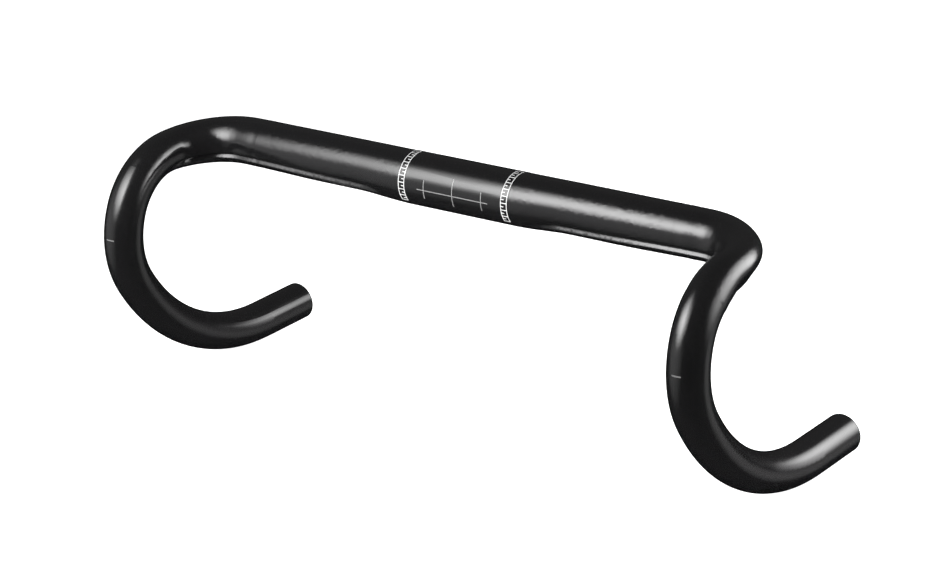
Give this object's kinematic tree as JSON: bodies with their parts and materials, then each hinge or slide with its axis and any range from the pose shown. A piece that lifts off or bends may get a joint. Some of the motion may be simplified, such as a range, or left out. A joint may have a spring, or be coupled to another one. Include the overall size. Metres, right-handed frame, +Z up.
{
  "type": "drop handlebar",
  "caption": "Bare drop handlebar: round clamp zone, grooved tops, curved drops that sweep back to open straight ends.",
  "frame": {"origin": "middle of the stem clamp zone, on the axis of the straight tops", "axes": "+X to the rider's left along the clamp zone's axis; -Y forward, the way the rider faces and the hooks reach; +Z up. The ramps fall 5.4 degrees to the front and the grip ends rise 4.6 degrees to the rear."},
  "size_m": [0.432, 0.1754, 0.1617],
  "materials": {
    "moulded_tube": "black clear-coated carbon fibre, satin gloss",
    "inner_laminate": "raw carbon laminate",
    "adhesive": "cured epoxy adhesive",
    "white_transfer": "white print under clear coat",
    "grey_transfer": "light grey print under clear coat"
  },
  "bodies": {
    "root": {"centre_section": "moulded_tube", "left_drop": "moulded_tube", "right_drop": "moulded_tube", "clamp_sleeve": "inner_laminate", "left_bond_line": "adhesive", "right_bond_line": "adhesive", "left_clamp_scale": "white_transfer", "right_clamp_scale": "white_transfer", "centre_mark": "grey_transfer", "left_lever_mark": "grey_transfer", "right_lever_mark": "grey_transfer"}
  },
  "joints": []
}
